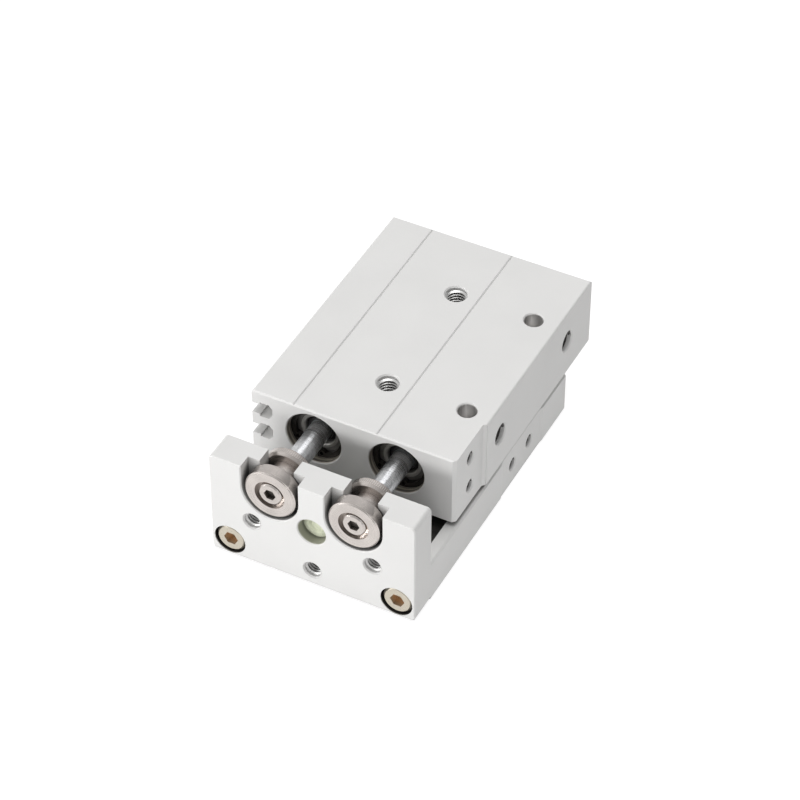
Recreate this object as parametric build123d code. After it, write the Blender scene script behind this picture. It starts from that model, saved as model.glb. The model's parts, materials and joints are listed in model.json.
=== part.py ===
from build123d import *
import math
import os

# Twin-rod pneumatic slide table, lengths in millimetres.
# X is the width, Y runs from the end plate (front) to the rear, Z is up.
# The origin is the middle of the table's load face, which lies on Z = 0.
# The cylinder body is on top, with its mounting face up.

# Body
body_width = 50.0
body_length = 66.5
body_height = 18.0
body_corner = 0.5
body_end_bevel = 0.35
body_side_bevel = 0.75

# Travel
stroke = 20.0
retracted_gap = 1.0
shown_gap = 12.2
stop_clearance = 0.05

# Sliding table
table_width = 49.2
table_height = 10.7
table_floor = 4.4
ledge_height = 8.6
wall_channel_width = 43.5
rail_channel_width = 31.0
table_bevel = 0.4
side_pad_depth = 0.3
side_pad_radius = 3.0
side_pad_start = 35.7
side_pad_length = 18.5

# End plate
plate_width = table_width
plate_height = 27.4
plate_lift = 0.1
plate_thickness = 7.4
plate_corner = 1.0
plate_bevel = 0.25
slot_width = 13.7
slot_depth = 3.5
neck_slot_width = 8.2

# Cylinder bores
bore_spacing = 20.0
bore_diameter = 12.0
bore_drop = 8.0
seat_diameter = 13.2
seat_bevel = 0.3
cover_recess = 3.0
cover_length = 15.8
head_recess = 4.2
head_length = 5.6

# Retaining rings of the covers and heads
ring_thickness = 1.0
ring_radial = 1.7
ring_groove_depth = 0.6
ring_gap_angle = 50.0
ring_gap_turn = 26.0
ring_lug_radius = 1.0
ring_eye_radius = 0.5
ring_lug_offset = 0.2
ring_lug_turn = 9.0

# Fits and small bevels
running_clearance = 0.03
press_clearance = 0.02
fit_clearance = 0.05
thread_clearance = 0.02
edge_bevel = 0.3
cut_margin = 5.0

# Rods and their seals
rod_diameter = 5.0
rod_stub_diameter = 3.0
rod_thread_depth = 8.0
rod_passage_gap = 0.25
o_ring_section = 1.5
o_ring_groove_width = 1.95
cover_groove_start = 9.3
seal_retainer_length = 1.3
seal_retainer_hole = 3.7
seal_retainer_bevel = 0.25
rod_seal_length = 3.2
rod_seal_radius = 4.6
seal_land = 1.0
seal_lip_thickness = 0.3
seal_web_thickness = 1.2
wiper_reach = 0.7
wiper_edge = 0.35
wiper_root = 1.0
rod_bush_length = 6.5
rod_bush_radius = 3.6
head_dimple_radius = 3.4
head_dimple_depth = 1.2
head_dimple_taper = 0.6

# Pistons, with places measured from the piston's front and depths from the bore's wall
piston_length = 9.0
piston_clearance = 0.05
piston_bevel = 0.4
wear_ring_start = 1.2
wear_ring_width = 1.2
wear_ring_depth = 0.7
piston_seal_start = 3.2
piston_seal_width = 2.0
piston_seal_depth = 1.7
piston_seal_bevel = 0.35
piston_seal_waist = 0.25
magnet_start = 6.0
magnet_width = 2.2
magnet_depth = 1.8
magnet_recess = 0.25
piston_bumper_length = 1.6
piston_bumper_radius = 4.4
nut_across_flats = 5.5
nut_thickness = 2.2
nut_stub_recess = 0.6

# Floating coupling between each rod and the end plate
flange_diameter = 12.2
flange_thickness = 3.3
flange_bevel = 0.35
flange_pocket_radius = 3.6
flange_pocket_depth = 1.9
neck_diameter = 6.6
collar_diameter = 11.2
collar_thickness = 2.5
collar_bevel = 0.6
float_clearance = 0.1
rod_bolt_reach = 7.0
rod_bolt_recess = 0.1

# Sensor slots in the left side
sensor_slot_drop = 4.8
sensor_slot_pitch = 6.0
sensor_mouth_height = 2.8
sensor_lip = 1.9
sensor_pocket_height = 4.0
sensor_pocket_depth = 3.1
sensor_pocket_bevel = 0.9

# Fine grooves along the top face
groove_width = 0.5
groove_depth = 0.25
groove_left = -14.8
groove_right = 5.35

# Holes in the top face
top_hole_start = 15.6
top_hole_pitch = 33.0
m5_radius = 2.5
m4_radius = 2.0
m3_radius = 1.5
mouth_bevel = 0.3
drill_point_share = 0.6
body_thread_depth = 9.0
locating_offset = 19.1
locating_radius = 2.15
locating_depth = 4.6

# Air ports and the passages behind them
port_start = 20.2
port_pitch = 34.0
port_drop = 8.3
port_depth = 4.0
passage_radius = 1.2

# Recessed pad at the front of the right side
pad_depth = 0.9
pad_length = 13.5
pad_fillet = 0.85
pad_thread_start = 7.2
pad_thread_drop = 4.7
pad_thread_pitch = 8.2
pad_thread_depth = 4.0

# Holes in the end plate
plate_thread_spacing = 29.0
plate_thread_drop = 17.8
plate_low_thread_drop = 25.8
plate_screw_spacing = 40.4
plate_screw_drop = 25.8
screw_pocket_radius = 3.8
screw_pocket_depth = 4.4
plate_screw_reach = 7.0
bumper_hole_radius = 3.3
bumper_hole_drop = 14.4
bumper_flange_radius = 4.4
bumper_face_recess = 2.2
bumper_dimple_radius = 1.9
bumper_dimple_depth = 0.5

# Screws
m3_head_radius = 2.75
m3_socket_flats = 2.5
m3_clearance_radius = 1.7
m4_head_radius = 3.5
m4_head_height = 4.0
m4_socket_flats = 3.0
m4_head_bevel = 0.5
m4_clearance_radius = 2.2
socket_share = 0.55
screw_point_bevel = 0.4
low_head_radius = 2.6
low_head_bevel = 0.2
low_socket_flats = 2.0
low_socket_depth = 1.0
low_head_clearance = 0.15

# Holes in the table
load_thread_spacing = 38.0
load_thread_pitch = 40.0
load_thread_start = 14.0
load_thread_depth = 5.5
dowel_radius = 1.5
dowel_depth = 2.6
dowel_pitch = 30.0
side_thread_pitch = 8.5
side_thread_height = 5.4
side_thread_depth = 4.4

# Ball guide under the body
guide_height = 7.6
rail_width = 14.0
rail_height = 4.6
rail_end_margin = 1.5
rail_bevel = 0.3
rail_screw_pitch = 22.0
rail_screw_head_height = 1.7
rail_screw_pocket_depth = 2.1
rail_screw_reach = 2.6
carriage_width = 26.0
carriage_start = 3.2
carriage_steel_length = 33.6
cap_thickness = 3.0
wiper_thickness = 0.8
carriage_lift = 1.2
carriage_bevel = 0.4
cap_lift = 0.2
wiper_lift = 0.4
rail_side_clearance = 0.3
rail_top_clearance = 0.5
wiper_clearance = 0.15
ball_radius = 1.0
ball_clearance = 0.05
ball_pitch = 2.1
race_offset = 0.2
race_height = 2.6
return_offset = 3.6
carriage_screw_spacing = 7.4
carriage_screw_pitch = 20.0
carriage_screw_head_height = 1.3
carriage_screw_pocket = 1.5
carriage_screw_reach = 3.6

# Places worked out from the sizes above
body_bottom = table_floor + guide_height
body_top = body_bottom + body_height
plate_front = -(plate_thickness + shown_gap + body_length) / 2
plate_back = plate_front + plate_thickness
body_front = plate_back + shown_gap
body_rear = body_front + body_length
table_front = plate_back
table_length = body_length + retracted_gap
table_rear = table_front + table_length
bore_axis = body_top - bore_drop
port_axis = body_top - port_drop
bore_radius = bore_diameter / 2
seat_radius = seat_diameter / 2
rod_radius = rod_diameter / 2
sides = {"left": -1, "right": 1}
cover_front = body_front + cover_recess
cover_rear = cover_front + cover_length
seal_front = cover_front + seal_retainer_length
seal_rear = seal_front + rod_seal_length
head_rear = body_rear - head_recess
head_front = head_rear - head_length
travel_in = shown_gap - retracted_gap
travel_out = stroke - travel_in
piston_front = cover_rear + piston_bumper_length + stop_clearance + travel_out
piston_rear = piston_front + piston_length
flange_front = plate_front + slot_depth - float_clearance - flange_thickness
flange_rear = flange_front + flange_thickness
collar_front = plate_back + float_clearance
collar_rear = collar_front + collar_thickness
rail_front = table_front + rail_end_margin
rail_rear = table_rear - rail_end_margin
rail_top = table_floor + rail_height
race_axis = table_floor + race_height
race_x = rail_width / 2 + race_offset
carriage_front = body_front + carriage_start
steel_front = carriage_front + wiper_thickness + cap_thickness
steel_rear = steel_front + carriage_steel_length
carriage_rear = steel_rear + cap_thickness + wiper_thickness
carriage_bottom = table_floor + carriage_lift


# Helpers

def box_between(x0, x1, y0, y1, z0, z1):
    return Pos((x0 + x1) / 2, (y0 + y1) / 2, (z0 + z1) / 2) * Box(x1 - x0, y1 - y0, z1 - z0)


def rod_x(radius, x0, x1, y, z):
    return Pos((x0 + x1) / 2, y, z) * Rot(0, 90, 0) * Cylinder(radius, x1 - x0)


def rod_y(radius, y0, y1, x, z):
    return Pos(x, (y0 + y1) / 2, z) * Rot(90, 0, 0) * Cylinder(radius, y1 - y0)


def turned(points, x, z):
    # A solid of revolution from (radius, y) points, about an axis along Y.
    outline = make_face(Polyline(*points, close=True))
    return Pos(x, 0, z) * revolve(outline, Axis.Y, 360)


def turned_z(points, x, y):
    # The same about an axis along Z, from (radius, z) points.
    outline = Plane.XZ * make_face(Polyline(*points, close=True))
    return Pos(x, y, 0) * revolve(outline, Axis.Z, 360)


def profile(outline, y0, length):
    # A closed (x, z) outline carried along Y.
    section = Plane(origin=(0, y0, 0), x_dir=(1, 0, 0), z_dir=(0, -1, 0)) * outline
    return extrude(section, amount=length, dir=(0, 1, 0))


def polygon(points):
    return make_face(Polyline(*points, close=True))


def drill(radius, depth, blind=True):
    # A drill pointing down from Z = 0, with a bevelled mouth and, if blind, a drill point.
    tip = radius * drill_point_share if blind else 0
    outer = radius + mouth_bevel
    points = [
        (0, 1), (outer, 1), (outer, 0), (radius, -mouth_bevel), (radius, -depth), (0, -depth - tip),
    ]
    return turned_z(points, 0, 0)


def drill_at(point, outward, radius, depth, blind=True):
    return Plane(origin=point, z_dir=outward).location * drill(radius, depth, blind)


def hexagon_y(across_flats, y0, y1, x, z):
    section = RegularPolygon(across_flats / 2, 6, major_radius=False)
    return profile(Pos(x, z) * section, y0, y1 - y0)


def spread(count, pitch):
    return [(i - (count - 1) / 2) * pitch for i in range(count)]


# Body group

def sensor_slot(z):
    side = -body_width / 2
    neck = side + sensor_lip
    floor = neck + sensor_pocket_depth
    mouth = sensor_mouth_height / 2
    pocket = sensor_pocket_height / 2
    bevel = sensor_pocket_bevel
    points = [
        (side - 1, z - mouth), (neck, z - mouth), (neck, z - pocket), (floor - bevel, z - pocket),
        (floor, z - pocket + bevel), (floor, z + pocket - bevel), (floor - bevel, z + pocket),
        (neck, z + pocket), (neck, z + mouth), (side - 1, z + mouth),
    ]
    return polygon(points)


def top_groove(x):
    half = groove_width / 2
    return polygon([(x - half, body_top), (x + half, body_top), (x, body_top - groove_depth)])


def body_section():
    outline = Rectangle(body_width, body_height)
    outline = fillet(outline.vertices(), body_corner)
    outline = Pos(0, body_bottom + body_height / 2) * outline
    for i in range(2):
        outline -= sensor_slot(body_top - sensor_slot_drop - i * sensor_slot_pitch)
    for x in (groove_left, groove_right):
        outline -= top_groove(x)
    return outline


def end_bevel_cutters():
    # Wedges along the front and rear edges of the top face.
    cutters = []
    for y, inward in ((body_front, 1), (body_rear, -1)):
        points = [
            (y - inward, body_top + 1), (y + inward * body_end_bevel, body_top + 1),
            (y + inward * body_end_bevel, body_top), (y, body_top - body_end_bevel),
            (y - inward, body_top - body_end_bevel),
        ]
        wedge = extrude(Plane.YZ * polygon(points), amount=body_width, both=True)
        cutters.append(wedge)
    return cutters


def pad_cutter():
    side = body_width / 2
    margin = cut_margin
    cutter = box_between(side - pad_depth, side + margin, body_front - margin, body_front + pad_length,
                         body_bottom - margin, body_top + margin)
    inner = cutter.edges().filter_by(Axis.Z).group_by(Axis.X)[0].sort_by(Axis.Y)[-1]
    return fillet(inner, pad_fillet)


def side_bevel_cutter():
    # The wedge that bevels the pad's upright front edge.
    x = body_width / 2 - pad_depth
    c = body_side_bevel
    points = [(x - c, body_front), (x - c, body_front - 1), (x + 1, body_front - 1),
              (x + 1, body_front + c), (x, body_front + c)]
    wedge = extrude(polygon(points), amount=body_height + 2)
    return Pos(0, 0, body_bottom - 1) * wedge


def bore_cutter(x):
    # The bore, its two wider seats, the ring grooves and the bevelled mouths.
    groove = seat_radius + ring_groove_depth
    mouth = seat_radius + seat_bevel
    front_ring = cover_front - ring_thickness - fit_clearance
    rear_ring = head_rear + fit_clearance
    rear_ring_end = rear_ring + ring_thickness + fit_clearance
    points = [
        (0, body_front - 1), (mouth, body_front - 1), (mouth, body_front),
        (seat_radius, body_front + seat_bevel), (seat_radius, front_ring - fit_clearance),
        (groove, front_ring - fit_clearance), (groove, cover_front), (seat_radius, cover_front),
        (seat_radius, cover_rear), (bore_radius, cover_rear), (bore_radius, head_front),
        (seat_radius, head_front), (seat_radius, head_rear), (groove, head_rear),
        (groove, rear_ring_end), (seat_radius, rear_ring_end),
        (seat_radius, body_rear - seat_bevel), (mouth, body_rear), (mouth, body_rear + 1),
        (0, body_rear + 1),
    ]
    return turned(points, x, bore_axis)


def top_hole_rows():
    return [body_front + top_hole_start + i * top_hole_pitch for i in range(2)]


def port_rows():
    return [body_front + port_start + i * port_pitch for i in range(2)]


def carriage_screw_places():
    middle = (steel_front + steel_rear) / 2
    rows = [middle + y for y in spread(2, carriage_screw_pitch)]
    return [(x, y) for x in spread(2, carriage_screw_spacing) for y in rows]


def body_housing():
    housing = profile(body_section(), body_front, body_length)
    housing -= pad_cutter()
    housing -= side_bevel_cutter()
    for cutter in end_bevel_cutters():
        housing -= cutter
    for side in sides.values():
        housing -= bore_cutter(side * bore_spacing / 2)
    for y in top_hole_rows():
        housing -= drill_at((0, y, body_top), (0, 0, 1), m5_radius, body_thread_depth)
        housing -= drill_at((locating_offset, y, body_top), (0, 0, 1), locating_radius, locating_depth)
    for y in port_rows():
        housing -= drill_at((body_width / 2, y, port_axis), (1, 0, 0), m5_radius, port_depth)
        housing -= rod_x(passage_radius, -bore_spacing / 2, body_width / 2 - port_depth, y, port_axis)
    pad_face = body_width / 2 - pad_depth
    for i in range(2):
        point = (pad_face, body_front + pad_thread_start, body_top - pad_thread_drop - i * pad_thread_pitch)
        housing -= drill_at(point, (1, 0, 0), m3_radius, pad_thread_depth)
    for x, y in carriage_screw_places():
        housing -= drill_at((x, y, body_bottom), (0, 0, -1), m3_radius, carriage_screw_reach)
    return housing


def retaining_ring(x, y0):
    # An internal C ring with two eyed lugs at its gap, which is turned a little left from straight down.
    outer = seat_radius + ring_groove_depth - fit_clearance
    inner = seat_radius - ring_radial + ring_groove_depth
    half_gap = math.radians(ring_gap_angle / 2)
    lug_reach = inner + ring_lug_offset
    lug_angle = half_gap + math.radians(ring_lug_turn)
    lug_x = lug_reach * math.sin(lug_angle)
    lug_z = -lug_reach * math.cos(lug_angle)
    ring = Circle(outer) - Circle(inner)
    spread_x = 3 * outer * math.sin(half_gap)
    spread_z = 3 * outer * math.cos(half_gap)
    ring -= polygon([(0, 0), (-spread_x, -spread_z), (spread_x, -spread_z)])
    for side in sides.values():
        ring += Pos(side * lug_x, lug_z) * Circle(ring_lug_radius)
    for side in sides.values():
        ring -= Pos(side * lug_x, lug_z) * Circle(ring_eye_radius)
    return profile(Pos(x, bore_axis) * Rot(0, 0, -ring_gap_turn) * ring, y0, ring_thickness)


def cover_ring(x):
    return retaining_ring(x, cover_front - ring_thickness - fit_clearance / 2)


def head_ring(x):
    return retaining_ring(x, head_rear + fit_clearance / 2)


def rod_cover(x):
    outer = seat_radius - fit_clearance
    groove = seat_radius - o_ring_section - fit_clearance
    groove_y = cover_front + cover_groove_start
    half = o_ring_groove_width / 2
    bush = rod_bush_radius + fit_clearance / 2
    seal = rod_seal_radius + fit_clearance
    hole = rod_radius + rod_passage_gap
    points = [
        (hole, seal_rear), (seal, seal_rear), (seal, cover_front),
        (outer - edge_bevel, cover_front), (outer, cover_front + edge_bevel),
        (outer, groove_y - half), (groove, groove_y - half), (groove, groove_y + half),
        (outer, groove_y + half), (outer, cover_rear), (bush, cover_rear),
        (bush, cover_rear - rod_bush_length), (hole, cover_rear - rod_bush_length),
    ]
    return turned(points, x, bore_axis)


def cover_o_ring(x):
    return o_ring(x, cover_front + cover_groove_start)


def head_o_ring(x):
    return o_ring(x, (head_front + head_rear) / 2)


def o_ring(x, y):
    middle = seat_radius - o_ring_section / 2 - fit_clearance / 2
    section = Pos(middle, y) * Circle(o_ring_section / 2)
    return Pos(x, 0, bore_axis) * revolve(section, Axis.Y, 360)


def seal_retainer(x):
    # The steel washer that holds the rod seal in its pocket.
    hole = seal_retainer_hole
    outer = rod_seal_radius
    rear = seal_front - fit_clearance / 2
    c = seal_retainer_bevel
    points = [
        (hole, rear), (hole, cover_front + c), (hole + c, cover_front), (outer, cover_front), (outer, rear),
    ]
    return turned(points, x, bore_axis)


def rod_seal(x):
    # A lip seal, hollow behind its wiping edge, with a cone round the rod inside its retainer.
    inner = rod_radius + running_clearance
    outer = rod_seal_radius
    y0 = seal_front
    y1 = seal_rear - fit_clearance
    lip = seal_lip_thickness
    web = y0 + seal_web_thickness
    points = [
        (inner, y0 - wiper_reach), (inner + wiper_edge, y0 - wiper_reach), (inner + wiper_root, y0),
        (outer, y0), (outer, y1), (inner + seal_land, y1), (inner + 2 * lip, web), (inner + lip, web),
        (inner + lip, y1), (inner, y1),
    ]
    return turned(points, x, bore_axis)


def rod_bush(x):
    inner = rod_radius + running_clearance
    y0 = cover_rear - rod_bush_length
    points = [(inner, y0), (rod_bush_radius, y0), (rod_bush_radius, cover_rear), (inner, cover_rear)]
    return turned(points, x, bore_axis)


def head_cap(x):
    outer = seat_radius - fit_clearance
    groove = seat_radius - o_ring_section - fit_clearance
    middle = (head_front + head_rear) / 2
    half = o_ring_groove_width / 2
    floor = head_rear - head_dimple_depth
    points = [
        (0, head_front), (outer - edge_bevel, head_front), (outer, head_front + edge_bevel),
        (outer, middle - half), (groove, middle - half), (groove, middle + half),
        (outer, middle + half), (outer, head_rear), (head_dimple_radius, head_rear),
        (head_dimple_radius - head_dimple_taper, floor), (0, floor),
    ]
    return turned(points, x, bore_axis)


# Ball guide

def race_circles(extra):
    circles = []
    for side in sides.values():
        circles.append(Pos(side * race_x, race_axis) * Circle(ball_radius + extra))
    return circles


def guide_rail():
    half = rail_width / 2
    c = rail_bevel
    section = polygon([
        (-half, table_floor), (half, table_floor), (half, rail_top - c), (half - c, rail_top),
        (-half + c, rail_top), (-half, rail_top - c),
    ])
    for circle in race_circles(ball_clearance):
        section -= circle
    rail = profile(section, rail_front, rail_rear - rail_front)
    for y in rail_screw_rows():
        pocket = low_head_radius + low_head_clearance
        points = [
            (0, table_floor - 1), (m3_clearance_radius, table_floor - 1),
            (m3_clearance_radius, rail_top - rail_screw_pocket_depth),
            (pocket, rail_top - rail_screw_pocket_depth), (pocket, rail_top + 1), (0, rail_top + 1),
        ]
        rail -= turned_z(points, 0, y)
    return rail


def rail_screw_rows():
    middle = (rail_front + rail_rear) / 2
    return [middle + y for y in spread(3, rail_screw_pitch)]


def low_head_screw(head_height, reach):
    # A low-head M3 socket screw standing on Z = 0, its shank down.
    head = low_head_radius
    shank = m3_radius - thread_clearance
    c = low_head_bevel
    points = [
        (0, head_height), (head - c, head_height), (head, head_height - c), (head, 0), (shank, 0),
        (shank, -reach + c), (shank - c, -reach), (0, -reach),
    ]
    screw = turned_z(points, 0, 0)
    socket = RegularPolygon(low_socket_flats / 2, 6, major_radius=False)
    return screw - extrude(Pos(0, 0, head_height - low_socket_depth) * socket, amount=2)


def rail_screws():
    seat = rail_top - rail_screw_pocket_depth
    reach = seat - table_floor + rail_screw_reach
    screw = low_head_screw(rail_screw_head_height, reach)
    return Compound(children=[Pos(0, y, seat) * screw for y in rail_screw_rows()])


def carriage_outline(lift, clearance):
    # The saddle's section: a U turned over, open towards the rail.
    half = carriage_width / 2
    inner = rail_width / 2 + clearance
    ceiling = rail_top + rail_top_clearance
    c = carriage_bevel
    return polygon([
        (-half + c, lift), (-inner, lift), (-inner, ceiling), (inner, ceiling), (inner, lift),
        (half - c, lift), (half, lift + c), (half, body_bottom), (-half, body_bottom),
        (-half, lift + c),
    ])


def guide_block():
    section = carriage_outline(carriage_bottom, rail_side_clearance)
    for circle in race_circles(ball_clearance):
        section -= circle
    for side in sides.values():
        section -= Pos(side * (race_x + return_offset), race_axis) * Circle(ball_radius + ball_clearance)
    block = profile(section, steel_front, carriage_steel_length)
    ceiling = rail_top + rail_top_clearance
    pocket = low_head_radius + low_head_clearance
    points = [
        (0, ceiling - 1), (pocket, ceiling - 1), (pocket, ceiling + carriage_screw_pocket),
        (m3_clearance_radius, ceiling + carriage_screw_pocket),
        (m3_clearance_radius, body_bottom + 1), (0, body_bottom + 1),
    ]
    for x, y in carriage_screw_places():
        block -= turned_z(points, x, y)
    return block


def carriage_screws():
    seat = rail_top + rail_top_clearance + carriage_screw_pocket
    reach = body_bottom - seat + carriage_screw_reach
    screw = low_head_screw(carriage_screw_head_height, reach)
    turned_over = Rot(180, 0, 0) * screw
    return Compound(children=[Pos(x, y, seat) * turned_over for x, y in carriage_screw_places()])


def turn_channel(y):
    # The half ring in which the balls turn from the loaded row to the return row.
    channels = []
    for side in sides.values():
        middle = race_x + return_offset / 2
        section = Plane.XZ * (Pos(return_offset / 2, 0) * Circle(ball_radius + ball_clearance))
        ring = revolve(section, Axis.Z, 360)
        channels.append(Pos(side * middle, y, race_axis) * ring)
    return channels


def guide_end_cap(y0, inner_face):
    section = carriage_outline(carriage_bottom + cap_lift, rail_side_clearance)
    cap = profile(section, y0, cap_thickness)
    for channel in turn_channel(inner_face):
        cap -= channel
    return cap


def guide_wiper(y0):
    section = carriage_outline(carriage_bottom + wiper_lift, wiper_clearance)
    return profile(section, y0, wiper_thickness)


def guide_balls():
    ball = Sphere(ball_radius)
    count = int(carriage_steel_length / ball_pitch)
    middle = (steel_front + steel_rear) / 2
    balls = []
    for side in sides.values():
        for row in (race_x, race_x + return_offset):
            for y in spread(count, ball_pitch):
                balls.append(Pos(side * row, middle + y, race_axis) * ball)
        for y in (steel_front - return_offset / 2, steel_rear + return_offset / 2):
            balls.append(Pos(side * (race_x + return_offset / 2), y, race_axis) * ball)
    return Compound(children=balls)


# Table group

def table_section():
    half = table_width / 2
    wall = wall_channel_width / 2
    channel = rail_channel_width / 2
    c = table_bevel
    return polygon([
        (-half + c, 0), (half - c, 0), (half, c), (half, table_height - c), (half - c, table_height),
        (wall, table_height), (wall, ledge_height), (channel, ledge_height), (channel, table_floor),
        (-channel, table_floor), (-channel, ledge_height), (-wall, ledge_height), (-wall, table_height),
        (-half + c, table_height), (-half, table_height - c), (-half, c),
    ])


def side_pad_cutter():
    # A shallow pad milled into the right side, its ends left with the milling cutter's radius.
    face = table_width / 2 - side_pad_depth
    middle = face + side_pad_radius
    y0 = table_front + side_pad_start
    y1 = y0 + side_pad_length
    cutter = box_between(face, middle + side_pad_radius, y0, y1, -1, table_height + 1)
    for y in (y0, y1):
        cutter += Pos(middle, y, table_height / 2) * Cylinder(side_pad_radius, table_height + 2)
    return cutter


def load_thread_places():
    rows = [table_front + load_thread_start + i * load_thread_pitch for i in range(2)]
    return [(x, y) for x in spread(2, load_thread_spacing) for y in rows]


def dowel_rows():
    middle = table_front + load_thread_start + load_thread_pitch / 2
    return [middle + y for y in spread(2, dowel_pitch)]


def side_thread_rows():
    middle = table_front + side_pad_start + side_pad_length / 2
    return [middle + y for y in spread(2, side_thread_pitch)]


def plate_screw_places():
    return [(x, body_top - plate_screw_drop) for x in spread(2, plate_screw_spacing)]


def table():
    solid = profile(table_section(), table_front, table_length)
    solid -= side_pad_cutter()
    for x, y in load_thread_places():
        solid -= drill_at((x, y, 0), (0, 0, -1), m4_radius, load_thread_depth)
    for y in dowel_rows():
        solid -= drill_at((0, y, 0), (0, 0, -1), dowel_radius, dowel_depth, blind=False)
    pad_face = table_width / 2 - side_pad_depth
    for y in side_thread_rows():
        solid -= drill_at((pad_face, y, side_thread_height), (1, 0, 0), m3_radius, side_thread_depth)
    for x, z in plate_screw_places():
        solid -= drill_at((x, table_front, z), (0, -1, 0), m4_radius, plate_screw_reach + 1)
    for y in rail_screw_rows():
        solid -= drill_at((0, y, table_floor), (0, 0, 1), m3_radius, rail_screw_reach, blind=False)
    return solid


def u_slot(x, width, reach):
    # A slot round at the bottom about the bore axis and open at the plate's top.
    middle = (bore_axis + reach) / 2
    return Pos(x, bore_axis) * Circle(width / 2) + Pos(x, middle) * Rectangle(width, reach - bore_axis)


def plate_outline(width):
    outline = Rectangle(plate_width, plate_height)
    outline = fillet(outline.vertices(), plate_corner)
    outline = Pos(0, plate_lift + plate_height / 2) * outline
    for side in sides.values():
        outline -= u_slot(side * bore_spacing / 2, width, body_top + cut_margin)
    return outline


def end_plate():
    front = profile(plate_outline(slot_width), plate_front, slot_depth)
    rim = front.faces().sort_by(Axis.Y)[0].edges()
    front = chamfer(rim, plate_bevel)
    rear = profile(plate_outline(neck_slot_width), plate_front + slot_depth, plate_thickness - slot_depth)
    plate = front + rear
    high = body_top - plate_thread_drop
    for x in spread(2, plate_thread_spacing):
        plate -= drill_at((x, plate_front, high), (0, -1, 0), m4_radius, plate_thickness + 1, blind=False)
    low = (0, plate_front, body_top - plate_low_thread_drop)
    plate -= drill_at(low, (0, -1, 0), m4_radius, plate_thickness + 1, blind=False)
    centre = (0, plate_front, body_top - bumper_hole_drop)
    plate -= drill_at(centre, (0, -1, 0), bumper_hole_radius, plate_thickness + 1, blind=False)
    for x, z in plate_screw_places():
        points = [
            (0, plate_front - 1), (screw_pocket_radius, plate_front - 1),
            (screw_pocket_radius, plate_front + screw_pocket_depth),
            (m4_clearance_radius, plate_front + screw_pocket_depth),
            (m4_clearance_radius, plate_back + 1), (0, plate_back + 1),
        ]
        plate -= turned(points, x, z)
    return plate


def cap_screw(head, shank, socket_flats, c, top, seat, end):
    # A socket cap screw on the Y axis, from the bevelled top of its head to the end of its shank.
    point = screw_point_bevel
    points = [
        (0, top), (head - c, top), (head, top + c), (head, seat), (shank, seat),
        (shank, end - point), (shank - point, end), (0, end),
    ]
    socket_end = top + (seat - top) * socket_share
    return turned(points, 0, 0) - hexagon_y(socket_flats, top - 1, socket_end, 0, 0)


def end_plate_screws():
    seat = plate_front + screw_pocket_depth
    shank = m4_radius - thread_clearance
    screw = cap_screw(m4_head_radius, shank, m4_socket_flats, m4_head_bevel, seat - m4_head_height,
                      seat, plate_back + plate_screw_reach)
    return Compound(children=[Pos(x, 0, z) * screw for x, z in plate_screw_places()])


def centre_bumper():
    # A rubber plug through the plate, its flange behind the plate meets the body at the inward stop.
    z = body_top - bumper_hole_drop
    plug = bumper_hole_radius - fit_clearance
    rear = plate_back + retracted_gap - stop_clearance
    front = plate_front + bumper_face_recess
    floor = front + bumper_dimple_depth
    flange = bumper_flange_radius
    c = edge_bevel
    points = [
        (0, floor), (bumper_dimple_radius - bumper_dimple_depth, floor), (bumper_dimple_radius, front),
        (plug - c, front), (plug, front + c), (plug, plate_back), (flange, plate_back),
        (flange, rear - c), (flange - c, rear), (0, rear),
    ]
    return turned(points, 0, z)


def rod_flange(x):
    # The disc in the plate's wide slot, with a pocket for the screw's head.
    outer = flange_diameter / 2
    c = flange_bevel
    floor = flange_front + flange_pocket_depth
    points = [
        (m3_clearance_radius, floor), (flange_pocket_radius, floor), (flange_pocket_radius, flange_front),
        (outer - c, flange_front), (outer, flange_front + c), (outer, flange_rear - c),
        (outer - c, flange_rear), (m3_clearance_radius, flange_rear),
    ]
    return turned(points, x, bore_axis)


def rod_bolt(x):
    shank = m3_radius - thread_clearance
    screw = cap_screw(m3_head_radius, shank, m3_socket_flats, edge_bevel, flange_front + rod_bolt_recess,
                      flange_front + flange_pocket_depth, collar_rear + rod_bolt_reach)
    return Pos(x, 0, bore_axis) * screw


def floating_bushing(x):
    # The neck through the plate's narrow slot and the collar behind the plate.
    neck = neck_diameter / 2
    outer = collar_diameter / 2
    c = collar_bevel
    points = [
        (m3_clearance_radius, flange_rear), (neck, flange_rear), (neck, collar_front),
        (outer - c, collar_front), (outer, collar_front + c), (outer, collar_rear - c),
        (outer - c, collar_rear), (m3_clearance_radius, collar_rear),
    ]
    return turned(points, x, bore_axis)


def piston_rod(x):
    stub = rod_stub_diameter / 2
    hole_end = collar_rear + rod_thread_depth
    end = piston_rear + nut_thickness - nut_stub_recess
    c = edge_bevel
    points = [
        (0, hole_end), (m3_radius, hole_end), (m3_radius, collar_rear), (rod_radius, collar_rear),
        (rod_radius, piston_front), (stub, piston_front), (stub, end - c), (stub - c, end), (0, end),
    ]
    return turned(points, x, bore_axis)


def groove_points(outer, start, width, depth):
    floor = bore_radius - depth
    return [(outer, start), (floor, start), (floor, start + width), (outer, start + width)]


def piston(x):
    outer = bore_radius - piston_clearance
    bore = rod_stub_diameter / 2 + press_clearance
    front = piston_front
    c = piston_bevel
    points = [(bore, front), (outer - c, front), (outer, front + c)]
    points += groove_points(outer, front + wear_ring_start, wear_ring_width, wear_ring_depth)
    points += groove_points(outer, front + piston_seal_start, piston_seal_width, piston_seal_depth)
    points += groove_points(outer, front + magnet_start, magnet_width, magnet_depth)
    points += [(outer, piston_rear - c), (outer - c, piston_rear), (bore, piston_rear)]
    return turned(points, x, bore_axis)


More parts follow.
